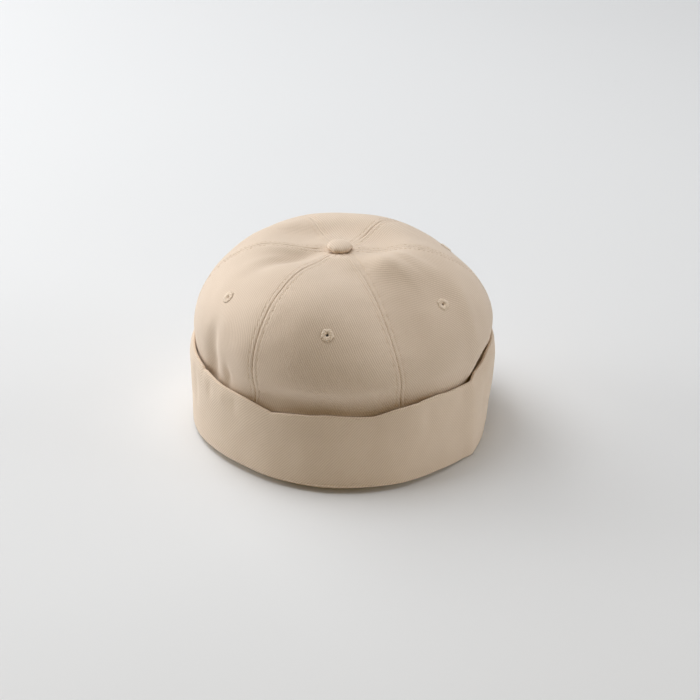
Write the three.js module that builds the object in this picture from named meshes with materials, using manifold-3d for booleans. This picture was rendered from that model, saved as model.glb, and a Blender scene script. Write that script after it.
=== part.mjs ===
import * as THREE from "three";
import { mergeVertices } from "three/addons/utils/BufferGeometryUtils.js";
import Module from "manifold-3d";

const wasm = await Module();
wasm.setup();

// A brimless docker cap: six crown panels, six embroidered eyelets, a covered button, a turned-up cuff.
// Millimetres, +Z up, the front panel towards -Y, the cuff's fold standing on Z = 0.
// Azimuth is in degrees round the cap: 0 at the front, 90 at the wearer's left (+X).
// Station runs down the crown: 0 at the button, 1 at the belly (the widest level), 2 at the rim.

// Cloth
const PANEL_CLOTH = 1.3;
const SEAM_GAP = 0.3;
const SEAM_PINCH = 0.15;
const PINCH_REACH = 4;

// Crown
const BELLY_HEIGHT = 66;
const RIM_HEIGHT = 2.9;
const RIM_RADIUS = 93.6;
const TUCK = 0.6;
const BUTTON_LEVEL = 120.5;
const DISH_POWER = 4;
const TOP_HOLE = 4.2;
const TOP_SPREAD = 0.85;
const FOLD_DEPTH = 30;
const ROWS_TOP = 12;
const WALL_STATIONS = [1.07, 1.14, 1.22, 1.35, 1.65, 2];
const FACET_WIDTH = 8;
const MOST_FACETS = 12;

// Crown sections, one every 30 degrees.
// reach is the belly radius, crest the top of the section, square the squareness of the shoulder,
// dish the radius of the hollow that the button pulls into the top.
const SECTIONS = [
  { azimuth: 0, reach: 95.3, crest: 122.5, square: 2.2, dish: 38 },
  { azimuth: 30, reach: 94.6, crest: 122.5, square: 1.8, dish: 33 },
  { azimuth: 60, reach: 95.5, crest: 128, square: 1.86, dish: 29 },
  { azimuth: 90, reach: 98.5, crest: 131, square: 2.05, dish: 36 },
  { azimuth: 120, reach: 97, crest: 129, square: 1.97, dish: 33 },
  { azimuth: 150, reach: 94.5, crest: 129.5, square: 2.2, dish: 32 },
  { azimuth: 180, reach: 93.5, crest: 130, square: 2.2, dish: 33 },
  { azimuth: 210, reach: 94, crest: 131.5, square: 2.2, dish: 36 },
  { azimuth: 240, reach: 95.5, crest: 130, square: 2.15, dish: 42 },
  { azimuth: 270, reach: 96.5, crest: 129.5, square: 2.1, dish: 42 },
  { azimuth: 300, reach: 94.5, crest: 126, square: 2.4, dish: 38 },
  { azimuth: 330, reach: 95, crest: 125.5, square: 2.6, dish: 38 },
];

// Seams between the panels: azimuth at the button and from the shoulder down
const SEAMS = [
  { top: 30, side: 30 },
  { top: 90, side: 101 },
  { top: 147, side: 153 },
  { top: 218, side: 208 },
  { top: 270, side: 267.5 },
  { top: 330, side: 331 },
];
const SEAM_TURN_STATION = 0.7;

// Folds and dents of the crown: push is out (+) or in (-), length and width are half sizes,
// lean is the turn of the fold from the meridian (90 runs round the crown).
const FOLDS = [
  { azimuth: 233.6, station: 0.287, push: 1.6, length: 26, width: 7, lean: 39 },
  { azimuth: 297, station: 0.192, push: -4.6, length: 21, width: 6.8, lean: 4 },
  { azimuth: 272, station: 0.25, push: 1, length: 25, width: 7, lean: 0 },
  { azimuth: 63, station: 0.245, push: 3.2, length: 29, width: 10.5, lean: 25 },
  { azimuth: 352, station: 0.45, push: 4, length: 27, width: 24, lean: 0 },
  { azimuth: 72, station: 0.72, push: 1.6, length: 24, width: 7, lean: -20 },
  { azimuth: 78, station: 1.19, push: -6, length: 20, width: 7, lean: -67 },
  { azimuth: 305, station: 1, push: -3.7, length: 20, width: 6.5, lean: 0 },
  { azimuth: 326, station: 0.93, push: 1.2, length: 22, width: 11, lean: 0 },
  { azimuth: 354, station: 0.6, push: 1.7, length: 30, width: 20, lean: 0 },
  { azimuth: 37, station: 0.6, push: -3.2, length: 34, width: 20, lean: 0 },
  { azimuth: 358, station: 1.155, push: -4.6, length: 62, width: 8, lean: 90 },
];

// Cuff: two layers of cloth turned up from the bottom fold, with a short turn-in inside the rim
const CUFF_CLOTH = 2.4;
const TURN_IN_CLOTH = 1.2;
const TURN_IN_HEIGHT = 9;
const CUFF_FLARE = 0.35;
const RIM_CLEARANCE = 0.4;
const CUFF_STEP = 5.2;
const CUFF_SHARES = [0, 0.32, 0.62, 0.82, 0.93, 1];
const CURL_HEIGHT = 11;
const FOLD_ROUND = 1.5;
const FOLD_ROWS = 3;

// Cuff outline: lip_radius and lip_height at the top edge, lip_curl how far that edge bends in,
// foot_radius at the bottom fold, foot_lift how far that fold stands off the surface.
const CUFF_OUTLINE = [
  { azimuth: -150, lip_radius: 101.3, lip_height: 57, lip_curl: 1, foot_radius: 98, foot_lift: 0 },
  { azimuth: -105, lip_radius: 99.3, lip_height: 58, lip_curl: 1.2, foot_radius: 97, foot_lift: 0 },
  { azimuth: -80, lip_radius: 100, lip_height: 57.3, lip_curl: 2, foot_radius: 98.6, foot_lift: 0.6 },
  { azimuth: -62, lip_radius: 99, lip_height: 56.7, lip_curl: 1.2, foot_radius: 98.7, foot_lift: 2.2 },
  { azimuth: -49, lip_radius: 99.2, lip_height: 54.8, lip_curl: 0.9, foot_radius: 98.3, foot_lift: 3.3 },
  { azimuth: -33, lip_radius: 99.2, lip_height: 53, lip_curl: 0.9, foot_radius: 98.4, foot_lift: 3.9 },
  { azimuth: -20, lip_radius: 99.3, lip_height: 49.5, lip_curl: 1, foot_radius: 100.6, foot_lift: 4 },
  { azimuth: 0, lip_radius: 99, lip_height: 52, lip_curl: 1, foot_radius: 103.4, foot_lift: 4.1 },
  { azimuth: 18, lip_radius: 98.8, lip_height: 50.2, lip_curl: 0.4, foot_radius: 103.6, foot_lift: 3.5 },
  { azimuth: 28, lip_radius: 98.4, lip_height: 53.9, lip_curl: -0.3, foot_radius: 103, foot_lift: 2.8 },
  { azimuth: 44, lip_radius: 97.6, lip_height: 56.3, lip_curl: -0.9, foot_radius: 99.6, foot_lift: 1.7 },
  { azimuth: 58, lip_radius: 97.6, lip_height: 53.9, lip_curl: 0, foot_radius: 99.3, foot_lift: 0.6 },
  { azimuth: 63, lip_radius: 101, lip_height: 53.9, lip_curl: 1.5, foot_radius: 100.8, foot_lift: 0 },
  { azimuth: 68, lip_radius: 101, lip_height: 56, lip_curl: 4.5, foot_radius: 99, foot_lift: 0 },
  { azimuth: 84, lip_radius: 101, lip_height: 57.5, lip_curl: 4.8, foot_radius: 95.3, foot_lift: 0 },
  { azimuth: 93, lip_radius: 101, lip_height: 58, lip_curl: 2.2, foot_radius: 95.3, foot_lift: 0 },
  { azimuth: 110, lip_radius: 100.8, lip_height: 58.5, lip_curl: 0.8, foot_radius: 95.5, foot_lift: 0 },
  { azimuth: 150, lip_radius: 101.3, lip_height: 57, lip_curl: 1, foot_radius: 98, foot_lift: 0 },
];

// Eyelets: a worked ring outside, a sleeve through the cloth and a smaller ring inside
const EYELET_HOLE = 0.8;
const EYELET_SLEEVE = 1.9;
const EYELET_PUNCH = 2.3;
const EYELET_RING = 4.1;
const EYELET_BACK_RING = 3.4;
const EYELET_THICKNESS = 0.8;
const EYELET_GAP = 0.45;
const EYELET_BACK_GAP = 0.5;
const EYELET_SPREAD = 3;
const EYELET_STEPS = 20;
const PUNCH_LENGTH = 8;

// Button, a little off the axis because the soft crown leans
const BUTTON_RADIUS = 8.1;
const BUTTON_HEIGHT = 4.7;
const BUTTON_GAP = 0.6;
const BUTTON_STEM = 1.6;
const BUTTON_EDGE = 1.2;
const BUTTON_ACROSS = -1.5;
const BUTTON_AHEAD = 1.2;
const BUTTON_ROWS = 6;
const BUTTON_STEPS = 28;

// Small steps for slopes, walks and searches along the crown, and for joining corners
const PROBE_TURN = 0.5;
const PROBE_STATION = 0.004;
const FIRST_STATION = 0.0005;
const WALK_STATION = 0.002;
const HALVINGS = 40;
const JOIN_DISTANCE = 1e-4;

// Finish
const CLOTH_COLOUR = "#cdbca6";
const CLOTH_ROUGHNESS = 0.95;

// Crown panels in order round the cap, named by the wearer's sides.
// A panel ends at the seam of its row in SEAMS and starts at the seam before.
// eyelet is the azimuth of its eyelet, along the eyelet's distance along the cloth from the button.
const PANELS = [
  { name: "front", eyelet: 0.2, along: 88 },
  { name: "front_left", eyelet: 63.8, along: 83.2 },
  { name: "back_left", eyelet: 125, along: 82.5 },
  { name: "back", eyelet: 180, along: 82.5 },
  { name: "back_right", eyelet: 237, along: 82.5 },
  { name: "front_right", eyelet: 303.1, along: 84 },
];

const radians = THREE.MathUtils.degToRad;

function atAzimuth(azimuth, radius, height) {
  const turn = radians(azimuth);
  return new THREE.Vector3(radius * Math.sin(turn), -radius * Math.cos(turn), height);
}

// Smooth closed curve through a column of SECTIONS
function sectionValue(column, azimuth) {
  const count = SECTIONS.length;
  const place = (((azimuth % 360) + 360) % 360) / (360 / count);
  const row = Math.floor(place);
  const t = place - row;
  const [a, b, c, d] = [-1, 0, 1, 2].map((step) => SECTIONS[(row + step + count) % count][column]);
  const slope = c - a;
  const bend = 2 * a - 5 * b + 4 * c - d;
  const twist = 3 * b - a - 3 * c + d;
  return 0.5 * (2 * b + t * (slope + t * (bend + t * twist)));
}

// Straight runs between the rows of CUFF_OUTLINE
function cuffValue(column, azimuth) {
  const count = CUFF_OUTLINE.length;
  const turn = ((((azimuth + 180) % 360) + 360) % 360) - 180;
  let next = CUFF_OUTLINE.findIndex((row) => row.azimuth > turn);
  next = next < 0 ? 0 : next;
  const before = CUFF_OUTLINE[(next + count - 1) % count];
  const after = CUFF_OUTLINE[next];
  const span = (after.azimuth - before.azimuth + 360) % 360;
  const t = ((turn - before.azimuth + 360) % 360) / span;
  return THREE.MathUtils.lerp(before[column], after[column], t);
}

// Crown surface before folds: a square-shouldered dome with a dished top over an upright wall
function domePoint(azimuth, station) {
  const reach = sectionValue("reach", azimuth);
  const crest = sectionValue("crest", azimuth);
  const square = sectionValue("square", azimuth);
  const dishRadius = sectionValue("dish", azimuth);
  if (station > 1) {
    const down = station - 1;
    const radius = THREE.MathUtils.lerp(reach, RIM_RADIUS, down ** TUCK);
    return atAzimuth(azimuth, radius, THREE.MathUtils.lerp(BELLY_HEIGHT, RIM_HEIGHT, down));
  }
  const share = Math.sin(Math.max(station, 0) * Math.PI / 2) ** TOP_SPREAD;
  const radius = reach * share;
  const rise = Math.max(1 - share ** square, 0) ** (1 / square);
  const height = THREE.MathUtils.lerp(BELLY_HEIGHT, crest, rise);
  const dish = (crest - BUTTON_LEVEL) * Math.exp(-((radius / dishRadius) ** DISH_POWER));
  return atAzimuth(azimuth, radius, height - dish);
}

// Point, directions round and down the crown, and outward normal
function domeFrame(azimuth, station) {
  const point = domePoint(azimuth, station);
  const before = domePoint(azimuth - PROBE_TURN, station);
  const round = domePoint(azimuth + PROBE_TURN, station).sub(before).normalize();
  const above = domePoint(azimuth, Math.max(station - PROBE_STATION, FIRST_STATION));
  const down = domePoint(azimuth, station + PROBE_STATION).sub(above).normalize();
  const out = new THREE.Vector3().crossVectors(down, round).normalize();
  return { point, round, down, out };
}

const FOLD_FRAMES = FOLDS.map((fold) => {
  const centre = domeFrame(fold.azimuth, fold.station);
  const lean = radians(fold.lean);
  const along = centre.down.clone().multiplyScalar(Math.cos(lean));
  along.addScaledVector(centre.round, Math.sin(lean));
  const across = new THREE.Vector3().crossVectors(along, centre.out).normalize();
  return { fold, centre, along, across };
});

function foldPush(point) {
  let push = 0;
  for (const { fold, centre, along, across } of FOLD_FRAMES) {
    const offset = point.clone().sub(centre.point);
    const a = offset.dot(along) / fold.length;
    const b = offset.dot(across) / fold.width;
    const c = offset.dot(centre.out) / FOLD_DEPTH;
    push += fold.push * Math.exp(-a * a - b * b - c * c);
  }
  return push;
}

function seamAzimuth(row, station) {
  return THREE.MathUtils.lerp(row.top, row.side, THREE.MathUtils.smoothstep(station, 0, SEAM_TURN_STATION));
}

function nearestSeamTurn(azimuth, station) {
  const turns = SEAMS.map((row) => {
    const turn = Math.abs(azimuth - seamAzimuth(row, station)) % 360;
    return Math.min(turn, 360 - turn);
  });
  return Math.min(...turns);
}

// Finished outer face of the crown, depth millimetres into the cloth
function crownPoint(azimuth, station, depth = 0) {
  const { point, out } = domeFrame(azimuth, station);
  const radius = Math.hypot(point.x, point.y);
  const toSeam = radians(nearestSeamTurn(azimuth, station)) * radius;
  const fade = Math.min(radius / BUTTON_RADIUS, 1, 2 - station);
  const pinch = SEAM_PINCH * fade * Math.exp(-((toSeam / PINCH_REACH) ** 2));
  return point.addScaledVector(out, foldPush(point) - pinch - depth);
}

// Station on a meridian where the radius first reaches a value
function stationAtRadius(azimuth, radius) {
  let low = 0;
  let high = 1;
  for (let step = 0; step < HALVINGS; step += 1) {
    const middle = (low + high) / 2;
    const point = domePoint(azimuth, middle);
    if (Math.hypot(point.x, point.y) < radius) {
      low = middle;
    } else {
      high = middle;
    }
  }
  return high;
}

// Station at a distance along the cloth from the button
function stationAtDistance(azimuth, distance) {
  let travelled = 0;
  let station = FIRST_STATION;
  let last = crownPoint(azimuth, station);
  while (travelled < distance) {
    station += WALK_STATION;
    const here = crownPoint(azimuth, station);
    travelled += here.distanceTo(last);
    last = here;
  }
  return station;
}

// Triangles between two rows of points that run the same way, with any number of points in each
function zipRows(upper, lower, triangles) {
  let u = 0;
  let l = 0;
  while (u < upper.length - 1 || l < lower.length - 1) {
    const upperNext = (u + 1) / (upper.length - 1 || 1);
    const lowerNext = (l + 1) / (lower.length - 1 || 1);
    if (l === lower.length - 1 || (u < upper.length - 1 && upperNext < lowerNext)) {
      triangles.push(upper[u], lower[l], upper[u + 1]);
      u += 1;
    } else {
      triangles.push(upper[u], lower[l], lower[l + 1]);
      l += 1;
    }
  }
}

// A closed solid from any geometry, its corners joined by place
function solidOf(geometry) {
  geometry.deleteAttribute("normal");
  geometry.deleteAttribute("uv");
  const joined = mergeVertices(geometry, JOIN_DISTANCE);
  const vertProperties = new Float32Array(joined.attributes.position.array);
  const triVerts = new Uint32Array(joined.index.array);
  return new wasm.Manifold(new wasm.Mesh({ numProp: 3, vertProperties, triVerts }));
}

function geometryFrom(points, triangles) {
  const geometry = new THREE.BufferGeometry().setFromPoints(points);
  geometry.setIndex(triangles);
  return geometry;
}

function meshOf(solid, name) {
  const { vertProperties, triVerts } = solid.getMesh();
  const geometry = new THREE.BufferGeometry();
  geometry.setAttribute("position", new THREE.BufferAttribute(new Float32Array(vertProperties), 3));
  geometry.setIndex(new THREE.BufferAttribute(new Uint32Array(triVerts), 1));
  geometry.computeVertexNormals();
  const finish = { color: CLOTH_COLOUR, roughness: CLOTH_ROUGHNESS, metalness: 0 };
  const mesh = new THREE.Mesh(geometry, new THREE.MeshStandardMaterial(finish));
  mesh.name = name;
  return mesh;
}

// One crown panel: an outer and an inner skin on the same rows, closed round the edge
function panelSolid(startSeam, endSeam) {
  const tip = stationAtRadius(endSeam.top, TOP_HOLE);
  const stations = [];
  for (let row = 0; row <= ROWS_TOP; row += 1) {
    stations.push(THREE.MathUtils.lerp(tip, 1, row / ROWS_TOP));
  }
  stations.push(...WALL_STATIONS);
  const points = [];
  const outer = [];
  const inner = [];
  for (const station of stations) {
    const end = seamAzimuth(endSeam, station);
    const start = seamAzimuth(startSeam, station);
    const turn = (end - start + 360) % 360;
    const centre = domePoint(end - turn / 2, station);
    const radius = Math.hypot(centre.x, centre.y);
    const gap = THREE.MathUtils.radToDeg(SEAM_GAP / 2 / radius);
    const width = radians(turn) * radius;
    const facets = THREE.MathUtils.clamp(Math.round(width / FACET_WIDTH), 2, MOST_FACETS);
    const outerRow = [];
    const innerRow = [];
    for (let column = 0; column <= facets; column += 1) {
      const azimuth = THREE.MathUtils.lerp(end - turn + gap, end - gap, column / facets);
      outerRow.push(points.push(crownPoint(azimuth, station)) - 1);
      innerRow.push(points.push(crownPoint(azimuth, station, PANEL_CLOTH)) - 1);
    }
    outer.push(outerRow);
    inner.push(innerRow);
  }
  const triangles = [];
  const flipped = [];
  for (let row = 0; row + 1 < stations.length; row += 1) {
    zipRows(outer[row], outer[row + 1], triangles);
    zipRows(inner[row], inner[row + 1], flipped);
  }
  for (let place = 0; place < flipped.length; place += 3) {
    triangles.push(flipped[place], flipped[place + 2], flipped[place + 1]);
  }
  const last = stations.length - 1;
  zipRows(inner[0], outer[0], triangles);
  zipRows(outer[last], inner[last], triangles);
  zipRows(outer.map((row) => row[0]), inner.map((row) => row[0]), triangles);
  zipRows(inner.map((row) => row[row.length - 1]), outer.map((row) => row[row.length - 1]), triangles);
  return solidOf(geometryFrom(points, triangles));
}

// A profile of (radius, height) pairs turned about Z
function turned(profile, steps) {
  const outline = profile.map(([radius, height]) => new THREE.Vector2(radius, height));
  return new THREE.LatheGeometry(outline, steps).rotateX(Math.PI / 2);
}

// Local axes at an eyelet: Z out of the cloth
function eyeletPlace(azimuth, distance) {
  const station = stationAtDistance(azimuth, distance);
  const origin = crownPoint(azimuth, station);
  const before = crownPoint(azimuth - EYELET_SPREAD, station);
  const round = crownPoint(azimuth + EYELET_SPREAD, station).sub(before).normalize();
  const above = crownPoint(azimuth, stationAtDistance(azimuth, distance - EYELET_RING));
  const below = crownPoint(azimuth, stationAtDistance(azimuth, distance + EYELET_RING));
  const out = new THREE.Vector3().crossVectors(below.sub(above), round).normalize();
  const up = new THREE.Vector3().crossVectors(out, round);
  return new THREE.Matrix4().makeBasis(round, up, out).setPosition(origin);
}

function eyeletSolid(place) {
  const top = EYELET_GAP + EYELET_THICKNESS;
  const back = -PANEL_CLOTH - EYELET_BACK_GAP;
  const bottom = back - EYELET_THICKNESS / 2;
  const profile = [
    [EYELET_HOLE, bottom],
    [EYELET_BACK_RING, bottom],
    [EYELET_BACK_RING, back],
    [EYELET_SLEEVE, back],
    [EYELET_SLEEVE, EYELET_GAP],
    [EYELET_RING, EYELET_GAP],
    [EYELET_RING - EYELET_THICKNESS / 3, top - EYELET_THICKNESS / 4],
    [(EYELET_RING + EYELET_HOLE) / 2, top],
    [EYELET_HOLE, top - EYELET_THICKNESS / 2],
    [EYELET_HOLE, bottom],
  ];
  return solidOf(turned(profile, EYELET_STEPS).applyMatrix4(place));
}

function punchSolid(place) {
  const punch = new THREE.CylinderGeometry(EYELET_PUNCH, EYELET_PUNCH, PUNCH_LENGTH, EYELET_STEPS);
  return solidOf(punch.rotateX(Math.PI / 2).applyMatrix4(place));
}

// A low dome on a flat seat, with a short stem through the hole where the panels meet
function buttonSolid() {
  const seat = BUTTON_LEVEL + BUTTON_GAP;
  const stemEnd = BUTTON_LEVEL - PANEL_CLOTH;
  const profile = [
    [0, stemEnd],
    [BUTTON_STEM, stemEnd],
    [BUTTON_STEM, seat],
    [BUTTON_RADIUS - BUTTON_EDGE, seat],
  ];
  for (let row = 0; row <= BUTTON_ROWS; row += 1) {
    const angle = (Math.PI / 2) * (row / BUTTON_ROWS);
    const height = seat + BUTTON_EDGE + (BUTTON_HEIGHT - BUTTON_EDGE) * Math.sin(angle);
    profile.push([row === BUTTON_ROWS ? 0 : BUTTON_RADIUS * Math.cos(angle), height]);
  }
  return solidOf(turned(profile, BUTTON_STEPS).translate(BUTTON_ACROSS, -BUTTON_AHEAD, 0));
}

// Cuff section at one azimuth: outer wall, lip, inner wall, channel under the rim, turn-in, foot
function cuffLoop(azimuth) {
  const lipRadius = cuffValue("lip_radius", azimuth);
  const lipHeight = cuffValue("lip_height", azimuth);
  const lipCurl = cuffValue("lip_curl", azimuth);
  const footRadius = cuffValue("foot_radius", azimuth);
  const footLift = cuffValue("foot_lift", azimuth);
  const wall = (height) => {
    const share = height / lipHeight;
    const bend = Math.max(1 - (lipHeight - height) / CURL_HEIGHT, 0);
    const flare = (lipRadius - footRadius) * share * (1 + CUFF_FLARE * (1 - share));
    return footRadius + flare - lipCurl * bend ** 2;
  };
  const rimIn = RIM_RADIUS - PANEL_CLOTH - RIM_CLEARANCE;
  const rimOut = RIM_RADIUS + RIM_CLEARANCE;
  const channel = RIM_HEIGHT - RIM_CLEARANCE;
  const profile = [];
  for (let row = 0; row < FOLD_ROWS; row += 1) {
    const angle = (Math.PI / 2) * (row / FOLD_ROWS);
    const height = footLift + FOLD_ROUND * (1 - Math.cos(angle));
    profile.push([footRadius - FOLD_ROUND * (1 - Math.sin(angle)), height]);
  }
  for (const share of CUFF_SHARES) {
    const height = THREE.MathUtils.lerp(footLift + FOLD_ROUND, lipHeight - CUFF_CLOTH / 2, share);
    profile.push([wall(height), height]);
  }
  profile.push([wall(lipHeight) - CUFF_CLOTH / 2, lipHeight]);
  for (const share of CUFF_SHARES.toReversed()) {
    const height = THREE.MathUtils.lerp(channel, lipHeight - CUFF_CLOTH / 2, share);
    profile.push([Math.max(wall(height) - CUFF_CLOTH, rimOut), height]);
  }
  profile.push([rimIn, channel], [rimIn, TURN_IN_HEIGHT], [rimIn - TURN_IN_CLOTH, TURN_IN_HEIGHT]);
  profile.push([rimIn - TURN_IN_CLOTH, TURN_IN_CLOTH / 2], [rimIn - TURN_IN_CLOTH / 2, 0]);
  return profile.map(([radius, height]) => atAzimuth(azimuth, radius, height));
}

// Azimuths round the cuff: every row of CUFF_OUTLINE, with even steps between
function cuffAzimuths() {
  const azimuths = [];
  CUFF_OUTLINE.forEach((row, index) => {
    const after = CUFF_OUTLINE[(index + 1) % CUFF_OUTLINE.length];
    const span = (after.azimuth - row.azimuth + 360) % 360;
    const steps = Math.ceil(span / CUFF_STEP);
    for (let step = 0; step < steps; step += 1) {
      azimuths.push(row.azimuth + (span * step) / steps);
    }
  });
  return azimuths;
}

function cuffSolid() {
  const loops = cuffAzimuths().map(cuffLoop);
  const points = loops.flat();
  const triangles = [];
  const count = loops[0].length;
  for (let step = 0; step < loops.length; step += 1) {
    const here = step * count;
    const there = ((step + 1) % loops.length) * count;
    for (let place = 0; place < count; place += 1) {
      const next = (place + 1) % count;
      triangles.push(here + place, there + place, there + next);
      triangles.push(here + place, there + next, here + next);
    }
  }
  return solidOf(geometryFrom(points, triangles));
}

const cap = new THREE.Group();
cap.name = "docker_cap";
PANELS.forEach((row, index) => {
  const place = eyeletPlace(row.eyelet, row.along);
  const startSeam = SEAMS[(index + SEAMS.length - 1) % SEAMS.length];
  const panel = panelSolid(startSeam, SEAMS[index]).subtract(punchSolid(place));
  cap.add(meshOf(panel, `crown_panel_${row.name}`));
  cap.add(meshOf(eyeletSolid(place), `eyelet_${row.name}`));
});
cap.add(meshOf(buttonSolid(), "button"));
cap.add(meshOf(cuffSolid(), "cuff"));

export default cap;
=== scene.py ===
import math

import bpy
import numpy as np
from mathutils import Matrix, Vector


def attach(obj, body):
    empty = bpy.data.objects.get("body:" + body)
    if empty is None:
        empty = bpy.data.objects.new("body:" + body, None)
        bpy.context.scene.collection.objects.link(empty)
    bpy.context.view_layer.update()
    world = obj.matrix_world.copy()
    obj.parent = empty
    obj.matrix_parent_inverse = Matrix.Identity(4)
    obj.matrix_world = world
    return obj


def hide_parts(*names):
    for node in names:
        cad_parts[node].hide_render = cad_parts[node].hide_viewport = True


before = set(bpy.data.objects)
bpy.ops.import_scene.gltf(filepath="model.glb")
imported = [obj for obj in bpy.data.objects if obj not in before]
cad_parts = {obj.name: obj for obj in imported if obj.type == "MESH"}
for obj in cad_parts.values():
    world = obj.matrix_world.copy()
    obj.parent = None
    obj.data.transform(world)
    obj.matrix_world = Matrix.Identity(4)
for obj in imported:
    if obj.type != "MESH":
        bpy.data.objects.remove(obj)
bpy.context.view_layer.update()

# The docker cap's cloth in full detail. Sizes are in millimetres until a mesh is made.
# Azimuth is in degrees round the cap: 0 at the front (-Y), 90 at the wearer's left (+X).
# Station runs down the crown: 0 at the button, 1 at the belly, 2 at the rim.
MM = 0.001
SEED = 11
SHARP_ANGLE = 50

# Cloth and crown, as in the solids
PANEL_CLOTH = 1.3
SEAM_GAP = 0.1
SEAM_PINCH = 0.15
PINCH_REACH = 4
BELLY_STATION = 1
RIM_STATION = 2
BELLY_HEIGHT = 66
RIM_HEIGHT = 2.9
RIM_RADIUS = 93.6
TUCK = 0.6
BUTTON_LEVEL = 120.5
DISH_POWER = 4
TOP_HOLE = 4.2
TOP_SPREAD = 0.85
FOLD_DEPTH = 30
PROBE_TURN = 0.5
PROBE_STATION = 0.004
FIRST_STATION = 0.0005
WALK_STEPS = 1600
SECTION_ANGLE = 30

# Crown sections every 30 degrees: belly radius, top height, squareness of the shoulder and
# radius of the hollow that the button pulls into the top
SECTIONS = {
    "reach": [95.3, 94.6, 95.5, 98.5, 97, 94.5, 93.5, 94, 95.5, 96.5, 94.5, 95],
    "crest": [122.5, 122.5, 128, 131, 129, 129.5, 130, 131.5, 130, 129.5, 126, 125.5],
    "square": [2.2, 1.8, 1.86, 2.05, 1.97, 2.2, 2.2, 2.2, 2.15, 2.1, 2.4, 2.6],
    "dish": [38, 33, 29, 36, 33, 32, 33, 36, 42, 42, 38, 38],
}

# Seams between the panels: azimuth at the button and from the shoulder down
SEAMS = [(30, 30), (90, 101), (147, 153), (218, 208), (270, 267.5), (330, 331)]
SEAM_TURN_STATION = 0.7

# How deep each of those seams shows, and the distance from the button where it starts to
SEAM_SHOWS = [(1, 30), (0.5, 12), (0.9, 14), (0.25, 14), (2, 10), (1, 8)]
SEAM_START = 10

# Folds and dents: azimuth, station, push out or in, half length, half width, lean from the meridian
FOLDS = [
    (233.6, 0.287, 1.6, 26, 7, 39),
    (297, 0.192, -4.6, 21, 6.8, 4),
    (272, 0.25, 1, 25, 7, 0),
    (63, 0.245, 3.2, 29, 10.5, 25),
    (352, 0.45, 4, 27, 24, 0),
    (72, 0.72, 1.6, 24, 7, -20),
    (78, 1.19, -6, 20, 7, -67),
    (305, 1, -3.7, 20, 6.5, 0),
    (326, 0.93, 1.2, 22, 11, 0),
    (354, 0.6, 1.7, 30, 20, 0),
    (37, 0.6, -3.2, 34, 20, 0),
    (358, 1.155, -4.6, 62, 8, 90),
]

# Small creases that only the finished cloth has, in the same columns
CREASES = [
    (76, 0.26, 0.5, 16, 2.6, 0),
    (68, 0.28, -0.5, 18, 2.8, 0),
    (59, 0.3, 0.45, 18, 3, 0),
    (285, 0.24, -0.5, 16, 3, 0),
    (276, 0.22, 0.4, 14, 3, 0),
    (316.2, 1.09, -2, 8, 3, 0),
]

# Panel names in order round the cap, each ending at the seam of the same place in SEAMS,
# and the azimuth of its eyelet with its distance along the cloth from the button
PANELS = {
    "front": (0.2, 88),
    "front_left": (63.8, 83.2),
    "back_left": (125, 82.5),
    "back": (180, 82.5),
    "back_right": (237, 82.5),
    "front_right": (303.1, 84),
}

# Panel grid: distances of the columns from a seam, columns between, and row spacing,
# wider below the height where the cuff hides the crown
EDGE_COLUMNS = np.array([0, 0.25, 0.55, 0.9, 1.3, 1.8, 2.3, 2.7, 3, 3.3, 3.7, 4.2, 5])
EDGE_FULL_WIDTH = 12
MIDDLE_COLUMNS = 56
ROW_STEP = 1.25
HIDDEN_ROW_STEP = 4
HIDDEN_FROM = 40
RIM_FADE = 4

# Seams: edges rolled in, a low welt, a sunk row of topstitching and the puckers beside it
EDGE_ROLL = 0.4
ROLL_REACH = 0.3
WELT_HEIGHT = 0.1
WELT_PLACE = 1.5
WELT_REACH = 0.8
STITCH_LINE = 3
STITCH_DIP = 0.12
DIP_REACH = 0.55
PUCKER = 0.06
PUCKER_REACH = 3.2
PUCKER_LENGTH = 8.5

# A second, shorter pucker wave, and the phases that keep the seams' puckers unlike each other
SHORT_PUCKER = 0.6
SHORT_PUCKER_RATE = 1.7
SHORT_PUCKER_PHASE = 2.3
PANEL_PHASE = 1.3
SIDE_PHASE = 2

# Topstitches: each is a short tube, thickest in its middle and sunk at its ends
STITCH_LENGTH = 2.3
STITCH_PITCH = 3
STITCH_RADIUS = 0.15
STITCH_SIDES = 6
STITCH_TAPER = np.array([0.5, 1, 1.1, 1, 0.5])
STITCH_ARCH = 1.1
STITCH_ARCH_POWER = 0.6
STITCH_SINK = 0.6
STITCH_SLIP = 0.08
STITCH_DRIFT = 0.05
STITCH_FIRST_RADIUS = 10

# Soft unevenness of the cloth: wavelength and height
CLOTH_WAVES = [(60, 0.35), (26, 0.12), (11, 0.045)]
WAVES_EACH = 7
SHORTEST_WAVE = 0.7
LONGEST_WAVE = 1.4

# Gathers where the button pulls the cloth in
GATHER_COUNT = 22
GATHER_HEIGHT = 0.22
GATHER_RADIUS = 9
GATHER_REACH = 6

# Eyelets: sizes, and unevenness of the threads' direction, reach and rise.
# Their slope is probed over about one ring, where a degree round the crown is about 1.5 mm.
EYELET_HOLE = 0.85
EYELET_RING = 4.0
EYELET_CUT = 1.9
EYELET_RISE = 0.5
EYELET_PULL = 0.15
EYELET_PULL_REACH = 7
MM_PER_DEGREE = 1.5
EYELET_PROBE_TURN = EYELET_RING / MM_PER_DEGREE
EYELET_THREADS = 30
EYELET_SIDES = 6
EYELET_FLATTEN = 0.8
EYELET_OVERLAP = 1.12
EYELET_SPACING_RADIUS = 0.25
EYELET_TURN_JITTER = 0.02
EYELET_JITTER = 0.22
EYELET_RISE_JITTER = 0.12

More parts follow.
